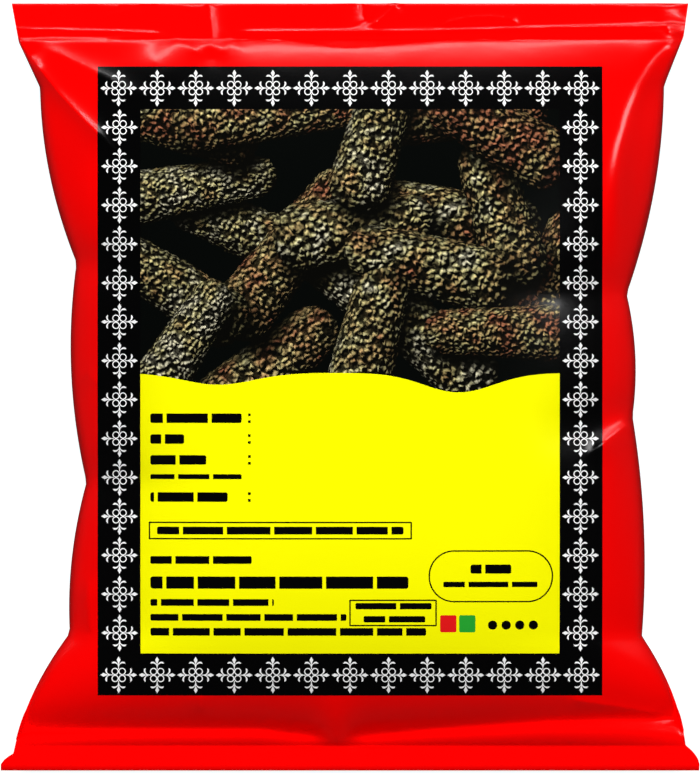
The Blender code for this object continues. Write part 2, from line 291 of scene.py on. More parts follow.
# (path in millimetres, height, width to the left, width to the right, fade at start, at end)
FOLDS = (
    # the edge of the top weld
    (((-74.5, 79.4), (-64.3, 79.1), (-51.0, 78.8), (-38.8, 78.2)), 0.75, 0.45, 1.0, 0.01, 0.15),
    (((-27.5, 78.8), (-13.3, 78.8), (-1.1, 78.9), (19.9, 79.0), (46.5, 79.7), (75.3, 80.1)),
     1.0, 0.45, 1.2, 0.06, 0.01),
    # the film's first fold under it, down to a V where the vertical crease ends
    (((-73.6, 76.6), (-64.3, 76.8), (-53.2, 77.0), (-44.3, 77.7), (-38.1, 77.8)),
     1.3, 0.8, 2.8, 0.02, 0.35),
    (((-40.5, 77.8), (-35.5, 75.4), (-31.0, 72.0)), 1.0, 1.6, 2.4, 0.25, 0.45),
    (((-30.2, 72.0), (-28.4, 74.4), (-25.0, 77.6)), 0.9, 1.6, 2.2, 0.45, 0.25),
    # the shoulder from the V to the right corner
    (((-25.7, 76.9), (-21.1, 77.0), (-16.0, 77.4), (-11.1, 76.2), (-4.4, 75.2), (0.0, 75.0),
      (8.9, 75.6), (19.9, 76.6), (37.7, 77.3)), 0.5, 0.6, 4.5, 0.04, 0.3),
    (((11.1, 75.7), (19.9, 76.6), (37.7, 77.4), (55.4, 78.0), (76.2, 78.9)),
     0.5, 0.6, 1.8, 0.3, 0.02),
    # creases in the top weld
    (((-31.6, 85.1), (-31.2, 80.2), (-30.8, 75.1), (-30.4, 72.5)), 1.8, 1.7, 2.0, 0.0, 0.3),
    (((3.0, 85.1), (3.2, 82.0), (4.0, 79.8)), -1.4, 0.9, 1.6, 0.0, 0.3),
    (((10.6, 84.9), (7.5, 82.0), (4.5, 79.6)), 0.8, 1.6, 0.6, 0.1, 0.3),
    (((-56.5, 81.6), (-45.4, 84.4)), 0.5, 0.6, 1.6, 0.35, 0.35),
    (((19.1, 79.3), (22.2, 80.9), (26.6, 81.8), (31.0, 82.0), (35.9, 81.5), (38.1, 80.0)),
     0.8, 0.6, 1.2, 0.2, 0.15),
    # the fan from the top left corner: its upper wedge, its lower one with a sharp edge, a facet
    (((-70.9, 76.6), (-64.3, 73.4), (-55.8, 69.0), (-48.8, 65.5), (-39.0, 62.5)),
     1.8, 2.0, 3.0, 0.2, 0.4),
    (FAN_EDGE, 3.2, 2.5, 4.0, 0.18, 0.3),
    (FAN_EDGE, 0.5, 0.6, 0.5, 0.15, 0.3),
    (((-43.9, 76.0), (-43.2, 72.5), (-42.5, 68.5), (-42.1, 62.7)), 0.8, 2.0, 2.5, 0.35, 0.5),
    # the band from the top right corner down the side
    (((75.8, 78.9), (71.1, 77.3), (66.5, 72.5), (63.6, 66.7), (60.9, 60.3), (58.9, 52.5),
      (58.0, 44.8), (58.6, 36.0), (60.3, 24.0)), 4.2, 4.5, 7.0, 0.12, 0.4),
    # both sides
    (((62.5, -7.5), (58.5, -10.4), (55.4, -12.9), (51.4, -16.4)), 2.0, 4.0, 1.2, 0.1, 0.5),
    (((-58.9, 3.3), (-57.2, 2.0), (-54.5, 0.2)), 0.7, 1.8, 1.8, 0.3, 0.4),
    (((-57.6, -41.0), (-58.1, -47.2), (-57.2, -57.2)), 0.9, 2.5, 1.8, 0.3, 0.3),
    (((-52.7, -37.9), (-51.9, -42.8), (-50.1, -47.6)), 0.6, 2.0, 1.2, 0.2, 0.4),
    # the two lobes over the bottom seal
    (((-76.2, -76.0), (-73.1, -75.7), (-44.3, -75.6), (-19.9, -75.6), (-11.1, -76.7),
      (-2.7, -77.8)), -4.0, 4.5, 2.0, 0.02, 0.1),
    (((-3.5, -77.8), (2.2, -77.1), (17.7, -75.7), (44.3, -73.9), (59.8, -73.6), (75.8, -73.7)),
     -4.0, 4.5, 2.0, 0.1, 0.02),
    (((47.6, -68.9), (49.9, -69.4), (60.9, -71.1), (71.4, -72.9)), 0.7, 1.0, 2.0, 0.15, 0.2),
    (((-33.7, -66.7), (-33.2, -69.4), (-33.0, -72.9)), 0.5, 0.9, 1.6, 0.4, 0.4),
)
CREST = 0.3  # how far a crest is rounded, as a share of the fold's width
NO_FADE = 1e-6  # stands for a fade of no length
EDGE_AT_FOLD, EDGE_GROWTH = 0.45, 0.8  # edge over fold width on a fold, and its growth aside


def path_place(path, x, y):
    """Distance from a path at each point of two arrays, side of it, and share of its length."""
    points = np.array(path, float)
    lengths = np.hypot(*np.diff(points, axis=0).T)
    before = np.concatenate(([0.0], np.cumsum(lengths)))
    nearest, side, share = np.full(x.shape, np.inf), np.zeros_like(x), np.zeros_like(x)
    for (ax, ay), (bx, by), length, start in zip(points, points[1:], lengths, before):
        t = np.clip(((x - ax) * (bx - ax) + (y - ay) * (by - ay)) / length**2, 0, 1)
        dx, dy = x - ax - t * (bx - ax), y - ay - t * (by - ay)
        distance = np.hypot(dx, dy)
        closer = distance < nearest
        nearest[closer] = distance[closer]
        side[closer] = np.sign((bx - ax) * dy - (by - ay) * dx)[closer]
        share[closer] = ((start + t * length) / before[-1])[closer]
    return nearest, side, share


def fold_height(x, y):
    """Height that the folds add to the film at each point of two arrays."""
    total = np.zeros_like(x)
    for path, height, left_width, right_width, start_fade, end_fade in FOLDS:
        nearest, side, share = path_place(path, x, y)
        width = np.where(side > 0, left_width, right_width)
        drop = np.exp(CREST - np.hypot(nearest / width, CREST))
        fade_in = smooth(share / max(start_fade, NO_FADE))
        fade_out = smooth((1 - share) / max(end_fade, NO_FADE))
        total += height * drop * fade_in * fade_out
    return total


def fine_enough(x, y):
    """Greatest length that an edge of the mesh may have there and still show the folds."""
    length = np.full(x.shape, np.inf)
    for path, _, left_width, right_width, _, _ in FOLDS:
        nearest = path_place(path, x, y)[0]
        allowed = EDGE_AT_FOLD * min(left_width, right_width) + EDGE_GROWTH * nearest
        length = np.minimum(length, allowed)
    return length


print("folds:", len(FOLDS))

# %% [markdown]
# ## The film as a mesh
#
# The cuts are stacked along the packet and joined as a grid. A sharp crest needs small faces and
# smooth film doesn't, so only the edges that lie near a fold are split, again and again, until
# they are short beside the fold's width. Each new point of the panel is then put back on the
# film's own curve. The folds lift the printed side straight up, so the outline of the packet
# stays as it is, and Solidify gives the sheet its wall afterwards.

# %% Build the film
SEAL_GAP, MIDDLE_GAP = 0.3, 1.6  # between rows, at the seals and far from them
GAP_GROWTH = 0.25
SPLITS = 3
WELD_BAND = 1.0  # how far past a seal both layers still move together
WELD_BLEND = 5.0  # and how long the change takes from there
STEEP = 0.4  # upward part of the normal under which folds fade out


def row_places():
    """Places along Y of the film's rows, close together by the seals, where it bends most."""
    rows = [BOTTOM_CUT]
    while rows[-1] < TOP_CUT - SEAL_GAP:
        from_seal = min(abs(rows[-1] - BOTTOM_SEAL), abs(rows[-1] - TOP_SEAL))
        rows.append(rows[-1] + min(MIDDLE_GAP, max(SEAL_GAP, GAP_GROWTH * from_seal)))
    rows[-1] = TOP_CUT
    return rows


def film_grid():
    """A mesh of the film without its folds, in millimetres."""
    rows = row_places()
    lines = [Cut(y).line() for y in rows]
    points = [(x, y, z) for y, (line, _, _) in zip(rows, lines) for x, z in line]
    index = np.arange(len(points)).reshape(len(rows), -1)
    corners = np.stack((index[:-1, :-1], index[:-1, 1:], index[1:, 1:], index[1:, :-1]), axis=-1)
    mesh = bpy.data.meshes.new("film")
    mesh.from_pydata(points, [], corners.reshape(-1, 4).tolist())
    for name, which in (("printed_side", 1), ("across", 2)):
        values = np.concatenate([line[which] for line in lines]).astype(np.float32)
        mesh.attributes.new(name, "FLOAT", "POINT").data.foreach_set("value", values)
    print("film grid:", len(rows), "rows of", index.shape[1])
    return mesh


def split_near_folds(mesh):
    form = bmesh.new()
    form.from_mesh(mesh)
    across = form.verts.layers.float["across"]
    for _ in range(SPLITS):
        ends = np.array([
            [(*vertex.co, vertex[across]) for vertex in edge.verts] for edge in form.edges
        ])
        middle = ends.mean(axis=1)
        length = np.linalg.norm(ends[:, 0, :3] - ends[:, 1, :3], axis=1)
        on_panel = np.abs(ends[:, :, 3]).max(axis=1) <= 1
        in_top = middle[:, 1] > TOP_SEAL - WELD_BAND
        in_weld = in_top | (middle[:, 1] < BOTTOM_SEAL + WELD_BAND)
        wanted = (on_panel | in_weld) & (length > fine_enough(middle[:, 0], middle[:, 1]))
        chosen = [edge for edge, is_wanted in zip(form.edges, wanted) if is_wanted]
        bmesh.ops.subdivide_edges(
            form, edges=chosen, cuts=1, use_grid_fill=True, use_single_edge=True)
    cuts = {}
    for vertex in form.verts:
        if abs(vertex[across]) <= 1:
            cut = cuts.setdefault(vertex.co.y, Cut(vertex.co.y))
            vertex.co.x, vertex.co.z = cut.top(vertex[across])
    form.to_mesh(mesh)
    form.free()


def raise_folds(mesh):
    """Lifts the printed side, and both layers of the welded ends, by the height of the folds."""
    count = len(mesh.vertices)
    points, normals, printed = np.empty((count, 3)), np.empty((count, 3)), np.empty(count)
    mesh.vertices.foreach_get("co", points.ravel())
    mesh.vertex_normals.foreach_get("vector", normals.ravel())
    mesh.attributes["printed_side"].data.foreach_get("value", printed)
    x, y = points[:, 0], points[:, 1]
    from_weld = np.minimum(TOP_SEAL + WELD_BAND - y, y - BOTTOM_SEAL + WELD_BAND)
    welded = 1 - smooth(from_weld / WELD_BLEND)
    facing_up = smooth(normals[:, 2] / STEEP)
    points[:, 2] += fold_height(x, y) * (welded + (1 - welded) * printed * facing_up)
    mesh.vertices.foreach_set("co", points.ravel())


def make_film():
    mesh = film_grid()
    split_near_folds(mesh)
    raise_folds(mesh)
    mesh.transform(Matrix.Scale(MM, 4))
    mesh.shade_smooth()
    film = bpy.data.objects.new("film", mesh)
    scene.collection.objects.link(film)
    wall = film.modifiers.new("film wall", "SOLIDIFY")
    wall.thickness = FILM * MM
    wall.offset = -1.0
    mesh.calc_loop_triangles()
    print("triangles of the film, both faces:", 2 * len(mesh.loop_triangles))
    return film


film = make_film()

# %% [markdown]
# ## A short hand for shader nodes
#
# The print is drawn by arithmetic, with many small nodes. A helper that adds a node, feeds its
# inputs and hands back its output lets each formula stand on one line. Two more start a node
# group with named sockets and a material.

# %% Shader helper
class Wiring:
    """Adds nodes to one tree and wires them. An input is a number, a tuple or another output."""

    def __init__(self, tree):
        self.tree = tree

    def feed(self, socket, value):
        if isinstance(value, bpy.types.NodeSocket):
            self.tree.links.new(value, socket)
        else:
            socket.default_value = value

    def put(self, kind, values=(), **settings):
        node = self.tree.nodes.new(kind)
        for name, value in settings.items():
            setattr(node, name, value)
        pairs = values.items() if isinstance(values, dict) else enumerate(values)
        for key, value in pairs:
            self.feed(node.inputs[key], value)
        return node

    def math(self, operation, *values, clamp=False):
        return self.put("ShaderNodeMath", values, operation=operation, use_clamp=clamp).outputs[0]

    plus = partialmethod(math, "ADD")
    minus = partialmethod(math, "SUBTRACT")
    times = partialmethod(math, "MULTIPLY")
    line = partialmethod(math, "MULTIPLY_ADD")
    most = partialmethod(math, "MAXIMUM")
    least = partialmethod(math, "MINIMUM")
    above = partialmethod(math, "GREATER_THAN")
    below = partialmethod(math, "LESS_THAN")

    def vector(self, operation, *values):
        node = self.put("ShaderNodeVectorMath", values, operation=operation)
        return node.outputs["Value" if operation == "LENGTH" else "Vector"]

    def split(self, vector):
        return self.put("ShaderNodeSeparateXYZ", (vector,)).outputs

    def join(self, x, y, z=0.0):
        return self.put("ShaderNodeCombineXYZ", (x, y, z)).outputs[0]

    def ease(self, value, low, high):
        """0 under low, 1 over high, and smooth between them."""
        node = self.put("ShaderNodeMapRange", (value, low, high), interpolation_type="SMOOTHSTEP")
        return node.outputs[0]

    def noise(self, place, scale, detail):
        settings = {"Vector": place, "Scale": scale, "Detail": detail}
        return self.put("ShaderNodeTexNoise", settings).outputs

    def ramp(self, value, stops):
        """Colour at a value, blended between stops of (value, red, green, blue)."""
        node = self.put("ShaderNodeValToRGB", (value,))
        elements = node.color_ramp.elements
        elements[0].position, elements[1].position = stops[0][0], stops[-1][0]
        for stop in stops[1:-1]:
            elements.new(stop[0])
        for element, stop in zip(elements, stops):
            element.color = (*stop[1:], 1)
        return node.outputs[0]

    def mix(self, factor, first, second, kind="RGBA", places=(0, 6, 7), result=2):
        """Blends two colours. The places are those of a Mix node's sockets for its kind."""
        node = self.put("ShaderNodeMix", data_type=kind, clamp_factor=False)
        for place, value in zip(places, (factor, first, second)):
            self.feed(node.inputs[place], value)
        return node.outputs[result]

    mix_vector = partialmethod(mix, kind="VECTOR", places=(0, 4, 5), result=1)

    def group(self, tree, **values):
        """Places a node group, with its inputs given by name: an underscore is a space there."""
        node = self.put("ShaderNodeGroup", node_tree=tree)
        for name, value in values.items():
            self.feed(node.inputs[name.replace("_", " ").capitalize()], value)
        return node.outputs


def new_group(name, inputs, outputs, kind="ShaderNodeTree"):
    """The wiring of a new node group with named sockets, its inputs and its outputs."""
    tree = bpy.data.node_groups.new(name, kind)
    for sockets, in_out in ((inputs, "INPUT"), (outputs, "OUTPUT")):
        for label, value in sockets:
            tree.interface.new_socket(label, in_out=in_out, socket_type="NodeSocket" + value)
    w = Wiring(tree)
    start, end = w.put("NodeGroupInput"), w.put("NodeGroupOutput")
    return w, start.outputs, end.inputs


def new_material(name):
    """A material, the wiring of its tree and the inputs of its shader."""
    material = bpy.data.materials.new(name)
    material.use_nodes = True
    shader = material.node_tree.nodes["Principled BSDF"]
    return material, Wiring(material.node_tree), shader.inputs


print("shader helper ready")

# %% [markdown]
# ## The border ornament
#
# The black border carries one ornament over and over: four rings in a square, and an arm on each
# side with two curled leaves and a bud. It has eight equal parts, so the group folds its input to
# one eighth and draws only half an arm. Everything is in millimetres on the packet.

# %% Ornament group
RING_PLACE, RING_R, RING_LINE = 0.79, 0.69, 0.11
STEM_HALF, STEM_START, STEM_END = 0.09, 1.3, 3.0
BUD_START, BUD_TIP, BUD_HALF, BUD_SWELL = 2.35, 4.08, 0.42, 0.42
LEAF_U, LEAF_W, LEAF_R = 1.88, 0.98, 0.90
LEAF_TIP, LEAF_HALF, LEAF_ROOT, LEAF_SWELL = 1.55, 0.19, 0.05, 0.17
TIP_TAPER = 0.6


def ornament_group():
    w, start, end = new_group("border ornament", [("Place", "Vector")], [("Ink", "Float")])
    x, y, _ = w.split(w.vector("ABSOLUTE", start["Place"]))
    out, side = w.most(x, y), w.least(x, y)
    ring_place = w.join(w.minus(out, RING_PLACE), w.minus(side, RING_PLACE))
    ring_off = w.minus(w.vector("LENGTH", ring_place), RING_R)
    ring = w.below(w.math("ABSOLUTE", ring_off), RING_LINE)
    stem = w.below(side, STEM_HALF)
    stem = w.times(stem, w.below(out, STEM_END))
    stem = w.times(stem, w.above(out, STEM_START))
    swell = w.times(w.minus(out, BUD_START), BUD_SWELL)
    taper = w.times(w.minus(BUD_TIP, out), TIP_TAPER)
    bud_half = w.least(w.least(swell, taper), BUD_HALF)
    bud = w.below(side, bud_half)
    leaf_place = w.join(w.minus(out, LEAF_U), w.minus(side, LEAF_W))
    leaf_off = w.math("ABSOLUTE", w.minus(w.vector("LENGTH", leaf_place), LEAF_R))
    leaf_swell = w.line(side, LEAF_SWELL, LEAF_ROOT)
    leaf_taper = w.times(w.minus(LEAF_TIP, side), TIP_TAPER)
    leaf_half = w.least(w.least(leaf_swell, leaf_taper), LEAF_HALF)
    leaf = w.times(w.below(leaf_off, leaf_half), w.above(out, LEAF_U))
    ink = w.most(w.most(ring, stem), w.most(bud, leaf))
    w.feed(end["Ink"], ink)
    return w.tree


ornament = ornament_group()
print("ornament nodes:", len(ornament.nodes))

# %% [markdown]
# ## A picture of dried spikes
#
# The upper part of the panel shows a dark pile of spikes. It is drawn as round bars with blunt
# ends, laid at random over one another. Each group call lays one spike over what is under it,
# throws its shadow on that, and hands on where the point lies on the topmost spike. One cell
# pattern then makes the fruitlets on all of them at once, and the light comes from how its height
# changes towards the lamp. The renderer has room for about twenty such calls in one material.

# %% Spike picker group
PICTURE_LIGHT = math.radians(118)  # where the picture's light comes from, from +X
SHADOW_SHIFT = 0.45  # how far a spike throws its shadow, in its own radii
SHADOW_INNER, SHADOW_OUTER = 0.65, 1.5  # where the shadow is full and where it ends, in radii
TAPER = 0.05  # how much thinner a spike gets along each radius of its length


def picker_group():
    """Over holds the place on the topmost spike and its turn. Light holds how far a blunt end
    leans and how much light the shadows leave."""
    w, start, end = new_group(
        "spike over others",
        [("Place", "Vector"), ("Centre", "Vector"), ("Turn", "Vector"), ("Size", "Vector"),
         ("Stretch", "Float"), ("Under", "Vector"), ("Under light", "Vector")],
        [("Over", "Vector"), ("Light", "Vector")],
    )
    mapped = (start["Place"], start["Centre"], start["Turn"], start["Size"])
    local = w.put("ShaderNodeMapping", mapped, vector_type="TEXTURE").outputs[0]
    along, across, _ = w.split(local)
    turn = w.split(start["Turn"])[2]
    beam = w.minus(PICTURE_LIGHT, turn)

    def reach_at(along, across):
        across = w.times(across, w.line(along, TAPER, 1.0))
        past = w.minus(w.math("ABSOLUTE", along), start["Stretch"])
        past = w.most(past, 0.0)
        return across, past, w.vector("LENGTH", w.join(past, across))

    across_here, past, reach = reach_at(along, across)
    inside = w.below(reach, 1.0)
    lean = w.times(past, w.math("SIGN", along))
    lit_along = w.line(w.math("COSINE", beam), SHADOW_SHIFT, along)
    lit_across = w.line(w.math("SINE", beam), SHADOW_SHIFT, across)
    open_sky = w.ease(reach_at(lit_along, lit_across)[2], SHADOW_INNER, SHADOW_OUTER)
    under_lean, under_shade, _ = w.split(start["Under light"])
    below = w.join(under_lean, w.times(under_shade, open_sky))
    w.feed(end["Over"], w.mix_vector(inside, start["Under"], w.join(along, across_here, turn)))
    w.feed(end["Light"], w.mix_vector(inside, below, w.join(lean, 1.0)))
    return w.tree


picker = picker_group()
print("picker nodes:", len(picker.nodes))

# %% [markdown]
# The height of the fruitlets is a cell pattern with soft joints, bent by noise and roughened, so
# that no two knobs look alike. It is its own group, because it is read at two places.

# %% Fruitlet group
FRUITLET_SCALE = 4.6  # fruitlets along one radius of a spike
KNOB_TOP, KNOB_EDGE = 0.10, 0.62
LUMP_HEIGHT, ROUGH_HEIGHT = 1.2, 1.1  # beside a knob's height of 1
HALF = (0.5, 0.5, 0.5)  # the middle of a noise's colour


def fruitlet_group():
    w, start, end = new_group("fruitlets", [("Place", "Vector")], [("Height", "Float")])
    ripple = w.vector("SUBTRACT", w.noise(start["Place"], 5.0, 2.0)["Color"], HALF)
    bent = w.vector("ADD", start["Place"], w.vector("MULTIPLY", ripple, (0.20, 0.20, 0.0)))
    cells = w.put("ShaderNodeTexVoronoi", {
        "Vector": bent, "Scale": FRUITLET_SCALE, "Smoothness": 0.25, "Randomness": 0.9,
    }, voronoi_dimensions="2D", feature="SMOOTH_F1")
    knob = w.minus(1.0, w.ease(cells.outputs["Distance"], KNOB_TOP, KNOB_EDGE))
    lumps = w.noise(start["Place"], 1.8, 1.0)["Fac"]
    rough = w.noise(start["Place"], 13.0, 3.0)["Fac"]
    height = w.line(rough, ROUGH_HEIGHT, w.line(lumps, LUMP_HEIGHT, knob))
    w.feed(end["Height"], height)
    return w.tree


fruitlets = fruitlet_group()
print("fruitlet nodes:", len(fruitlets.nodes))

# %% The picture
PILE_COLUMNS, PILE_ROWS = 5, 4
PILE_WIDTH, PILE_FLOOR, PILE_HEIGHT = 96.0, 2.0, 62.0
PILE_STRAY = (-6.0, 6.0)  # how far a spike may lie from its place in the pile
PILE_SEED = 5
HALF_LENGTHS, RADII = (17, 23), (5.6, 6.9)
RAGGED = (1.3, 1.3, 0.0)  # how far the outlines stray, in millimetres
READ_STEP = 0.05  # between the two places that tell the slope
SKIN_SHIFT = 17.0  # sets the fruitlets of differently turned spikes apart
SIDE_LIGHT, TOP_LIGHT = 0.5, 0.45
PIT_DARK, PIT_LIGHT, PIT_FLOOR = 1.9, 3.6, 0.15
PICTURE_CONTRAST, PICTURE_SHINE = 1.6, 0.85
OWN_TONE = 0.30  # how much the spikes differ in colour
EDGE_ACROSS = 1.2  # past every spike, so what lies there is the dark ground
PIT_COLOUR, GROUND_COLOUR = (0.0015, 0.0015, 0.001, 1), (0.0010, 0.0015, 0.0012, 1)
HUE_STOPS = (
    (0.30, 0.24, 0.09, 0.045), (0.42, 0.31, 0.21, 0.085),
    (0.56, 0.35, 0.315, 0.14), (0.70, 0.46, 0.43, 0.30),
)


def pile_of_spikes():
    """(centre x, centre y, turn, half length, radius) of each spike, from the lowest up."""
    draw = random.Random(PILE_SEED)
    spots = [(i, j) for i in range(PILE_COLUMNS) for j in range(PILE_ROWS)]
    draw.shuffle(spots)
    for i, j in spots:
        x = PILE_WIDTH * ((i + 0.5) / PILE_COLUMNS - 0.5) + draw.uniform(*PILE_STRAY)
        y = PILE_FLOOR + PILE_HEIGHT * (j + 0.5) / PILE_ROWS + draw.uniform(*PILE_STRAY)
        yield x, y, draw.uniform(0, math.pi), draw.uniform(*HALF_LENGTHS), draw.uniform(*RADII)


def picture_light(w, over, light):
    """How bright the topmost spike is: its round body, its fruitlets and the shadows on it."""
    along, across, turn = w.split(over)
    lean, shade, _ = w.split(light)
    beam = w.minus(PICTURE_LIGHT, turn)
    to_lamp = w.join(w.math("COSINE", beam), w.math("SINE", beam))
    bent = w.math("ARCSINE", w.least(w.most(across, -0.99), 0.99))
    skin = w.join(w.line(turn, SKIN_SHIFT, along), bent)
    step = w.vector("MULTIPLY", to_lamp, (READ_STEP, READ_STEP, 0.0))
    near = w.group(fruitlets, place=w.vector("ADD", skin, step))["Height"]
    far = w.group(fruitlets, place=w.vector("SUBTRACT", skin, step))["Height"]
    relief = w.minus(far, near)
    open_pit = w.ease(w.plus(far, near), PIT_DARK, PIT_LIGHT)
    side = w.put("ShaderNodeVectorMath", (w.join(lean, across), to_lamp), operation="DOT_PRODUCT")
    lean_out = w.plus(w.times(lean, lean), w.times(across, across))
    up = w.math("SQRT", w.most(w.minus(1.0, lean_out), 0.0))
    body = w.line(side.outputs["Value"], SIDE_LIGHT, w.times(up, TOP_LIGHT))
    lit = w.plus(body, w.times(relief, w.line(up, 1.0, 0.3)))
    lit = w.times(w.most(lit, 0.0), w.line(open_pit, 1 - PIT_FLOOR, PIT_FLOOR))
    return skin, turn, w.times(lit, shade)


def picture_colour(w, place):
    """Colour of the printed picture at a place on the packet, in millimetres."""
    stray = w.vector("SUBTRACT", w.noise(place, 0.7, 3.0)["Color"], HALF)
    rough_place = w.vector("ADD", place, w.vector("MULTIPLY", stray, RAGGED))
    over, light = (0.0, 5.0, 0.0), (0.0, 1.0, 0.0)
    for x, y, turn, half_length, radius in pile_of_spikes():
        outputs = w.group(
            picker, place=rough_place, centre=(x, y, 0), turn=(0, 0, turn), size=(radius,) * 3,
            stretch=half_length / radius - 1, under=over, under_light=light,
        )
        over, light = outputs["Over"], outputs["Light"]
    skin, turn, lit = picture_light(w, over, light)
    own = w.put("ShaderNodeTexWhiteNoise", {"W": turn}, noise_dimensions="1D").outputs["Value"]
    tone = w.noise(skin, 1.1, 4.0)["Fac"]
    tone = w.plus(tone, w.line(own, OWN_TONE, -OWN_TONE / 2))
    hue = w.ramp(tone, HUE_STOPS)
    shine = w.times(w.math("POWER", lit, PICTURE_CONTRAST), PICTURE_SHINE)
    spike = w.mix(shine, PIT_COLOUR, hue)
    shown = w.below(w.math("ABSOLUTE", w.split(over)[1]), EDGE_ACROSS)
    return w.mix(shown, GROUND_COLOUR, spike)


print("spikes in the printed picture:", len(list(pile_of_spikes())))

# %% [markdown]
# ## Rows of print
#
# Under the picture the panel is plain yellow, with rows of dark bars, ruled boxes and a few plain
# marks. One group tells how far a place is from a box with round corners: a bar is where that is
# negative, and a ruled box is where it is near zero. Each row has its own number, and a one-way
# cell pattern shifted by that number breaks it into bars of uneven length.

# %% Box group
def box_group():
    w, start, end = new_group(
        "box distance", [("Place", "Vector"), ("Centre", "Vector"), ("Half size", "Vector")],
        [("Distance", "Float")],
    )
    offset = w.vector("ABSOLUTE", w.vector("SUBTRACT", start["Place"], start["Centre"]))
    beyond = w.vector("SUBTRACT", offset, start["Half size"])
    x, y, _ = w.split(beyond)
    outside = w.vector("LENGTH", w.vector("MAXIMUM", w.join(x, y), (0, 0, 0)))
    inside = w.least(w.most(x, y), 0.0)
    w.feed(end["Distance"], w.plus(outside, inside))
    return w.tree


# (left, right, middle height, half height) of each row, in millimetres
WORD_ROWS = (
    (-44.1, -23.9, -6.9, 1.05), (-44.1, -36.6, -11.5, 1.05), (-44.1, -31.7, -16.1, 1.05),
    (-44.1, -23.9, -19.8, 0.55), (-44.1, -27.0, -24.3, 1.05), (-42.6, 11.8, -31.7, 0.85),
    (-44.1, -21.7, -38.2, 0.85), (-44.1, 12.9, -43.2, 1.35), (-44.1, -16.8, -47.6, 0.75),
    (-44.1, -0.8, -50.9, 0.75), (-44.1, 16.8, -54.1, 0.85), (1.2, 18.0, -48.4, 0.7),
    (3.0, 16.6, -51.3, 0.7), (20.6, 41.6, -43.6, 0.6), (26.6, 35.6, -40.2, 1.0),
)
BAR_CORNER = 0.45  # of its half height
WORD_GAP, WORD_LENGTH = 0.045, 9.0
ROW_SHIFT = 5.3  # how far the cell pattern moves on from row to row
# (middle x, middle y, half width, half height, corner) of the ruled boxes
RULED = (
    (-15.4, -31.7, 28.9, 1.8, 0.05), (9.5, -49.9, 9.5, 2.8, 0.05), (31.1, -41.8, 13.6, 5.6, 5.488),
)
RULE_HALF = 0.16
# (middle x, middle y) of the pairs of points, the dots and the two patches
POINTS = [(-22.2, y + rise) for y in (-6.9, -11.5, -16.1, -24.3) for rise in (-0.75, 0.75)]
DOTS = [(x, -52.6) for x in (31.5, 34.5, 37.5, 40.5)]
RED_PATCH, GREEN_PATCH = (21.7, -52.3), (25.9, -52.3)
POINT_SIZE, DOT_SIZE, PATCH_SIZE = ((0.3, 0.3), 0.1), ((1.0, 1.0), 0.95), ((1.8, 1.9), 0.4)


def print_masks(w, place, box):
    """Masks of the black, red and green print on the yellow field."""
    def distance_to(centre, half, corner):
        inner = (half[0] - corner, half[1] - corner, 0)
        distance = w.group(box, place=place, centre=(*centre, 0), half_size=inner)["Distance"]
        return w.minus(distance, corner)

    x, y, _ = w.split(place)
    row = 0.0
    for number, (left, right, middle, half) in enumerate(WORD_ROWS, start=1):
        size = ((right - left) / 2, half)
        bar = distance_to(((left + right) / 2, middle), size, half * BAR_CORNER)
        row = w.most(row, w.times(w.below(bar, 0.0), number))
    along = w.line(row, ROW_SHIFT, w.math("DIVIDE", x, WORD_LENGTH))
    gaps = w.put("ShaderNodeTexVoronoi", {"W": along, "Scale": 1.0, "Randomness": 0.7},
                 voronoi_dimensions="1D", feature="DISTANCE_TO_EDGE").outputs["Distance"]
    black = w.times(w.above(row, 0.5), w.above(gaps, WORD_GAP))
    for cx, cy, half_x, half_y, corner in RULED:
        line = w.math("ABSOLUTE", distance_to((cx, cy), (half_x, half_y), corner))
        black = w.most(black, w.below(line, RULE_HALF))
    for centre, size in [(p, POINT_SIZE) for p in POINTS] + [(p, DOT_SIZE) for p in DOTS]:
        black = w.most(black, w.below(distance_to(centre, *size), 0))
    red = w.below(distance_to(RED_PATCH, *PATCH_SIZE), 0)
    green = w.below(distance_to(GREEN_PATCH, *PATCH_SIZE), 0)
    return black, red, green


box = box_group()
print("rows of print:", len(WORD_ROWS))

# %% [markdown]
# ## The printed film
#
# The print lies flat on the panel, so it reads the packet's own X and Y. A mark on the mesh keeps
# it off the seam side. The colours meet in one chain of mixes, from the red film up to the white
# ornament, and feed one glossy shader.

# %% Film material
PANEL_CENTRE, PANEL_HALF = (0.0, 1.33), (55.84, 69.6)
WINDOW_CENTRE, WINDOW_HALF = (0.0, 1.25), (46.3, 60.15)
ROW_PITCH, ROW_CENTRE_Y, ROW_OFF = 8.53, 1.2, 64.9
ROW_LAST = 6  # a row has this many ornaments to each side of its middle one
COLUMN_PITCH, COLUMN_CENTRE_Y, COLUMN_OFF = 8.6, 1.5, 50.95
WAVE_TOP, WAVE_WIDTH = 3.1, 11.0
WAVE_DIPS = ((-29.0, 2.6), (24.0, 4.3))  # (x, depth) of each dip under the top
RED, YELLOW = (0.93, 0.0, 0.0, 1), (0.95, 0.93, 0.0, 1)
BLACK, WHITE = (0.0006, 0.0006, 0.0007, 1), (0.92, 0.92, 0.92, 1)
PATCH_RED, PATCH_GREEN = (0.75, 0.01, 0.01, 1), (0.02, 0.35, 0.03, 1)
GLOSS_ROUGHNESS = 0.22
SLACK_SCALE, SLACK_DEPTH = 70.0, 0.4 * MM  # the film's soft waves between the folds


def inside(w, place_x, place_y, centre, half):
    """1 inside an upright box, given the two coordinates."""
    off_x = w.minus(w.math("ABSOLUTE", w.minus(place_x, centre[0])), half[0])
    off_y = w.minus(w.math("ABSOLUTE", w.minus(place_y, centre[1])), half[1])
    return w.below(w.most(off_x, off_y), 0.0)


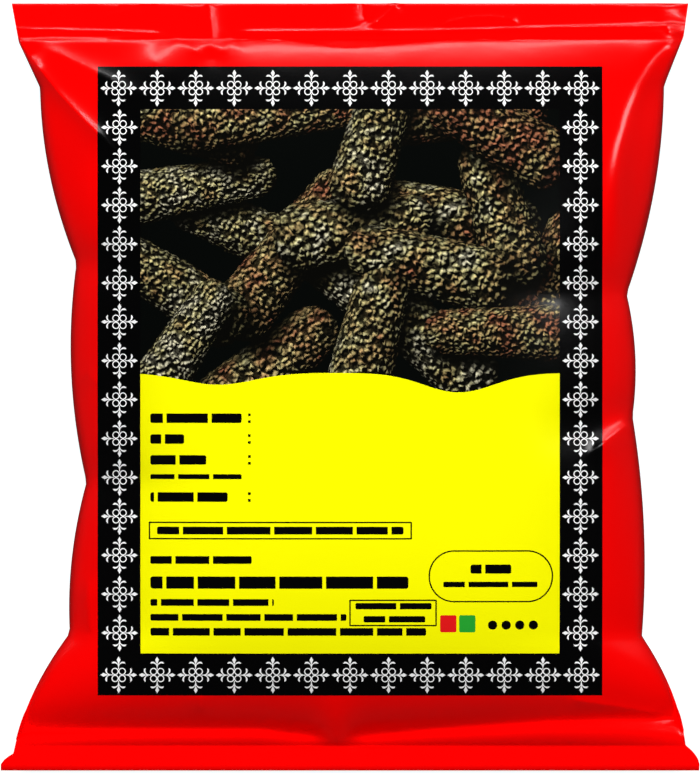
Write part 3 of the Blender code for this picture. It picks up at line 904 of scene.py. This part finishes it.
def border_place(w, x, y):
    """Place relative to the nearest ornament of the border."""
    nearest = w.math("ROUND", w.math("DIVIDE", x, ROW_PITCH))
    nearest = w.least(w.most(nearest, -ROW_LAST), ROW_LAST)
    row_x = w.minus(x, w.times(nearest, ROW_PITCH))
    row_y = w.minus(w.math("ABSOLUTE", w.minus(y, ROW_CENTRE_Y)), ROW_OFF)
    step = w.math("DIVIDE", w.minus(y, COLUMN_CENTRE_Y), COLUMN_PITCH)
    column_y = w.times(w.minus(w.math("FRACT", step), 0.5), COLUMN_PITCH)
    column_x = w.minus(w.math("ABSOLUTE", x), COLUMN_OFF)
    in_row = w.above(w.math("ABSOLUTE", w.minus(y, WINDOW_CENTRE[1])), WINDOW_HALF[1])
    return w.mix_vector(in_row, w.join(column_x, column_y), w.join(row_x, row_y))


def wave_height(w, x):
    """Height of the wavy line between the picture and the yellow field."""
    height = WAVE_TOP
    for centre, depth in WAVE_DIPS:
        off = w.math("DIVIDE", w.minus(x, centre), WAVE_WIDTH)
        bell = w.math("EXPONENT", w.times(w.times(off, off), -1.0))
        height = w.minus(height, w.times(bell, depth))
    return height


def film_material():
    material, w, shader = new_material("printed film")
    raw = w.put("ShaderNodeTexCoord").outputs["Object"]
    x, y, _ = w.split(w.vector("MULTIPLY", raw, (1 / MM, 1 / MM, 0.0)))
    place = w.join(x, y)
    printed = w.put("ShaderNodeAttribute", attribute_name="printed_side").outputs["Fac"]
    on_top = w.above(printed, 0.5)
    panel = w.times(inside(w, x, y, PANEL_CENTRE, PANEL_HALF), on_top)
    window = inside(w, x, y, WINDOW_CENTRE, WINDOW_HALF)
    ink = w.group(ornament, place=border_place(w, x, y))["Ink"]
    border = w.mix(ink, BLACK, WHITE)
    black, red, green = print_masks(w, place, box)
    field = w.mix(black, YELLOW, BLACK)
    field = w.mix(green, w.mix(red, field, PATCH_RED), PATCH_GREEN)
    in_picture = w.above(y, wave_height(w, x))
    inner = w.mix(in_picture, field, picture_colour(w, place))
    colour = w.mix(panel, RED, w.mix(window, border, inner))
    w.feed(shader["Base Color"], colour)
    shader["Roughness"].default_value = GLOSS_ROUGHNESS
    slack = w.noise(raw, SLACK_SCALE, 2.0)["Fac"]
    bump = w.put("ShaderNodeBump", {"Strength": 0.5, "Distance": SLACK_DEPTH, "Height": slack})
    w.feed(shader["Normal"], bump.outputs[0])
    print("film material nodes:", len(material.node_tree.nodes))
    return material


film.data.materials.append(film_material())

# %% [markdown]
# ## The spikes inside
#
# A long pepper is a catkin: hundreds of tiny fruits pressed together round a stem. Seen close,
# they stand in a spiral, each turned from the last by the golden angle. Geometry Nodes place
# them: a line of points is bent into the spiral by its own numbering, and each point gets one
# small knob, turned to face outwards. A core fills the inside, and a thin stalk ends it.

# %% Catkin node tree
GOLDEN = math.pi * (3 - math.sqrt(5))
FRUITLETS = 300
FRUIT_SIZE, FRUIT_HEIGHT = 0.80 * MM, 0.85  # radius, and share of it that stands outwards
FRUIT_SCALES = (0.82, 1.12)
FRUIT_SUNK, CORE_SUNK = 0.55, 0.9  # how far both lie under the skin, in fruit sizes
BODY_START, BODY_END = 0.13, 0.97  # where the fruitlets begin and end, along the spike
SWELL, TAPER_POWER, TAPER_DEPTH = 7.0, 3.2, 0.55
STALK_R, STALK_OVERLAP = 0.85 * MM, 0.03
CORE_STEPS, STALK_STEPS, ROD_SIDES = 14, 3, 10
LEAST_SHARE = 0.004  # keeps the core's first ring open
CATKIN_INPUTS = [("Length", "Float"), ("Radius", "Float"), ("Fruitlets", "Int"), ("Seed", "Int")]


def catkin_tree(skin):
    w, start, end = new_group(
        "catkin", CATKIN_INPUTS, [("Geometry", "Geometry")], kind="GeometryNodeTree")

    def profile(share):
        """Share of the full radius along the body: blunt at the stalk and slim at the tip."""
        swell = w.math("POWER", w.times(share, SWELL, clamp=True), 0.5)
        taper = w.minus(1.0, w.times(w.math("POWER", share, TAPER_POWER), TAPER_DEPTH))
        return w.times(swell, taper)

    count = start["Fruitlets"]
    line = w.put("GeometryNodeMeshLine", {"Count": count})
    order = w.put("GeometryNodeInputIndex").outputs[0]
    share = w.math("DIVIDE", w.plus(order, 0.5), count)
    turn = w.times(order, GOLDEN)
    along = w.line(share, BODY_END - BODY_START, BODY_START - 0.5)
    along = w.times(along, start["Length"])
    radius = w.times(profile(share), w.minus(start["Radius"], FRUIT_SIZE * FRUIT_SUNK))
    out_y, out_z = w.math("COSINE", turn), w.math("SINE", turn)
    spot = w.join(along, w.times(radius, out_y), w.times(radius, out_z))
    spiral = w.put("GeometryNodeSetPosition", {"Geometry": line.outputs[0], "Position": spot})
    outwards = w.join(0.0, out_y, out_z)
    faced = w.put("FunctionNodeAlignRotationToVector", {"Vector": outwards}, axis="Z")
    knob = w.put("GeometryNodeMeshIcoSphere", {"Radius": FRUIT_SIZE, "Subdivisions": 1})
    draw = w.put("FunctionNodeRandomValue", {"Seed": start["Seed"]}, data_type="FLOAT")
    draw.inputs[2].default_value, draw.inputs[3].default_value = FRUIT_SCALES
    size = draw.outputs[1]
    placed = w.put("GeometryNodeInstanceOnPoints", {
        "Points": spiral.outputs[0], "Instance": knob.outputs[0], "Rotation": faced.outputs[0],
        "Scale": w.join(size, size, w.times(size, FRUIT_HEIGHT)),
    })
    real = w.put("GeometryNodeRealizeInstances", {"Geometry": placed.outputs[0]})

    def rod(from_share, to_share, steps, radius_of):
        """A closed round rod along X between two shares of the length."""
        ends = [w.join(w.times(start["Length"], at - 0.5), 0.0) for at in (from_share, to_share)]
        curve = w.put("GeometryNodeCurvePrimitiveLine", {"Start": ends[0], "End": ends[1]})
        points = w.put("GeometryNodeResampleCurve", {"Curve": curve.outputs[0], "Count": steps})
        factor = w.put("GeometryNodeSplineParameter").outputs["Factor"]
        ring = w.put("GeometryNodeCurvePrimitiveCircle", {"Resolution": ROD_SIDES, "Radius": 1.0})
        return w.put("GeometryNodeCurveToMesh", {
            "Curve": points.outputs[0], "Profile Curve": ring.outputs[0], "Fill Caps": True,
            "Scale": radius_of(factor),
        }).outputs[0]

    def core_radius(factor):
        full = w.minus(start["Radius"], FRUIT_SIZE * CORE_SUNK)
        return w.times(profile(w.most(factor, LEAST_SHARE)), full)

    core = rod(BODY_START, BODY_END, CORE_STEPS, core_radius)
    stalk = rod(0.0, BODY_START + STALK_OVERLAP, STALK_STEPS, lambda factor: STALK_R)
    joined = w.put("GeometryNodeJoinGeometry")
    for part in (real.outputs[0], core, stalk):
        w.feed(joined.inputs[0], part)
    smoothed = w.put("GeometryNodeSetShadeSmooth", {"Geometry": joined.outputs[0]})
    coated = w.put("GeometryNodeSetMaterial", {"Geometry": smoothed.outputs[0], "Material": skin})
    w.feed(end["Geometry"], coated.outputs[0])
    return w.tree


PATCH_SCALE, GRAIN_SCALE, GRAIN_DEPTH = 420.0, 2600.0, 0.1 * MM
SKIN_STOPS = ((0.32, 0.035, 0.024, 0.014), (0.5, 0.11, 0.078, 0.042), (0.72, 0.27, 0.24, 0.15))
# the paler colour of the crowns, and its greatest share there
CROWN_TONE, MOST_CROWN_TONE = (0.36, 0.31, 0.20, 1), 0.5
EDGE_FROM, EDGE_TO = 0.5, 0.6  # pointiness of a flat face and of a crown
MATT_FROM, MATT_MORE = 0.72, 0.2


def spike_material():
    """Dry, matt catkin: dark brown fruitlets, paler on their crowns."""
    material, w, shader = new_material("dried spike")
    place = w.put("ShaderNodeTexCoord").outputs["Object"]
    patch = w.noise(place, PATCH_SCALE, 3.0)["Fac"]
    grain = w.noise(place, GRAIN_SCALE, 2.0)["Fac"]
    tone = w.ramp(patch, SKIN_STOPS)
    crown = w.put("ShaderNodeNewGeometry").outputs["Pointiness"]
    # the crowns are paler, going by their pointiness
    crown_tone_share = w.times(w.ease(crown, EDGE_FROM, EDGE_TO), MOST_CROWN_TONE)
    w.feed(shader["Base Color"], w.mix(crown_tone_share, tone, CROWN_TONE))
    w.feed(shader["Roughness"], w.line(grain, MATT_MORE, MATT_FROM))
    bump = w.put("ShaderNodeBump", {"Strength": 0.5, "Distance": GRAIN_DEPTH, "Height": grain})
    w.feed(shader["Normal"], bump.outputs[0])
    return material


catkin = catkin_tree(spike_material())
SOCKETS = {item.name: item.identifier for item in catkin.interface.items_tree}
print("catkin nodes:", len(catkin.nodes))

# %% [markdown]
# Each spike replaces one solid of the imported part, so it has to lie just where that solid lies.
# The solid's own points tell its middle, its direction and its length, and the slimmer end is
# the stalk.

# %% Lay the spikes
SPIKE_R = 4.2 * MM
WIDE = 0.9  # share of the greatest width, for the points of the thick end


def pose_of(node):
    """(length, matrix) of a spike, read from its solid's points."""
    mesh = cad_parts[node].data
    points = np.empty(len(mesh.vertices) * 3)
    mesh.vertices.foreach_get("co", points)
    points = points.reshape(-1, 3)
    mean = points.mean(axis=0)
    axis = np.linalg.svd(points - mean, full_matrices=False)[2][0]
    along = (points - mean) @ axis
    width = np.linalg.norm(points - mean - np.outer(along, axis), axis=1)
    if along[width > WIDE * width.max()].mean() > (along.max() + along.min()) / 2:
        axis, along = -axis, -along
    middle = mean + axis * (along.max() + along.min()) / 2
    turned = Vector(axis).to_track_quat("X", "Z").to_matrix().to_4x4()
    return along.max() - along.min(), Matrix.Translation(Vector(middle)) @ turned


def make_spike(node, number):
    length, matrix = pose_of(node)
    spike = bpy.data.objects.new(node + "_catkin", bpy.data.meshes.new(node))
    scene.collection.objects.link(spike)
    maker = spike.modifiers.new("catkin", "NODES")
    maker.node_group = catkin
    settings = {"Length": float(length), "Radius": SPIKE_R, "Fruitlets": FRUITLETS, "Seed": number}
    for label, value in settings.items():
        maker[SOCKETS[label]] = value
    spike.update_tag()
    evaluated = spike.evaluated_get(bpy.context.evaluated_depsgraph_get())
    mesh = bpy.data.meshes.new_from_object(evaluated)
    spike.modifiers.clear()
    spike.data = mesh
    mesh.transform(matrix)
    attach(spike, "root")
    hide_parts(node)
    return spike


spikes = [
    make_spike(node, number)
    for number, node in enumerate(sorted(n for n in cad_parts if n.startswith("spike_")))
]
print("spikes:", len(spikes), "faces in one:", len(spikes[0].data.polygons))

# %% Hand the film over
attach(film, "root")
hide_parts("pouch_film")

# %% [markdown]
# ## Floor and light
#
# Black ink and red film want opposite lights. A soft key light keeps the red full, but its
# reflection would turn the black grey, so it gives no gloss. It stands beyond the top of the
# packet, so slopes that face the bottom go dark. The bright lines on the folds come from a low
# strip far beyond the top seal, which only the steep flanks of the film mirror, and from a small
# softbox at the right.

# %% Floor and lights
FLOOR_HALF, FLOOR_LEVEL = 4.0, -0.05 * MM
FLOOR_COLOUR, FLOOR_ROUGHNESS, FLOOR_GLOW = (0.25, 0.25, 0.25, 1), 0.9, 0.95
ROOM_LIGHT = 0.02


def make_floor():
    """A pale floor that glows for the camera alone, so that it lights the packet only a little."""
    mesh = bpy.data.meshes.new("floor")
    signs = ((-1, -1), (1, -1), (1, 1), (-1, 1))
    corners = [(x * FLOOR_HALF, y * FLOOR_HALF, 0) for x, y in signs]
    mesh.from_pydata(corners, [], [(0, 1, 2, 3)])
    floor = bpy.data.objects.new("floor", mesh)
    floor.location.z = FLOOR_LEVEL
    scene.collection.objects.link(floor)
    floor.visible_glossy = False
    material, w, shader = new_material("floor")
    shader["Base Color"].default_value = FLOOR_COLOUR
    shader["Roughness"].default_value = FLOOR_ROUGHNESS
    shader["Emission Color"].default_value = (1, 1, 1, 1)
    seen = w.put("ShaderNodeLightPath").outputs["Is Camera Ray"]
    w.feed(shader["Emission Strength"], w.times(seen, FLOOR_GLOW))
    mesh.materials.append(material)


def make_light(name, place, size, power, gloss_only=False):
    """A rectangular lamp that looks at the packet and gives either gloss or soft light."""
    data = bpy.data.lights.new(name, "AREA")
    data.shape = "RECTANGLE"
    data.size, data.size_y = size
    data.energy = power
    light = bpy.data.objects.new(name, data)
    light.location = place
    light.rotation_mode = "QUATERNION"
    light.rotation_quaternion = (-Vector(place)).to_track_quat("-Z", "Z")
    light.visible_camera = False
    light.visible_glossy = gloss_only
    light.visible_diffuse = not gloss_only
    # A lamp that diffuse rays find by chance would give gloss all the same
    data.cycles.use_multiple_importance_sampling = gloss_only
    scene.collection.objects.link(light)


def make_world():
    world = bpy.data.worlds.new("studio")
    world.use_nodes = True
    background = world.node_tree.nodes["Background"].inputs
    background["Color"].default_value = (1, 1, 1, 1)
    background["Strength"].default_value = ROOM_LIGHT
    scene.world = world


make_floor()
make_world()
make_light("key", (0.0, 0.47, 1.45), (0.7, 0.7), 30.0)
make_light("far strip", (0.0, 1.60, 0.09), (4.4, 0.09), 16.0, gloss_only=True)
make_light("right softbox", (0.284, 0.160, 0.195), (0.12, 0.10), 0.28, gloss_only=True)
scene.view_settings.view_transform = "Standard"
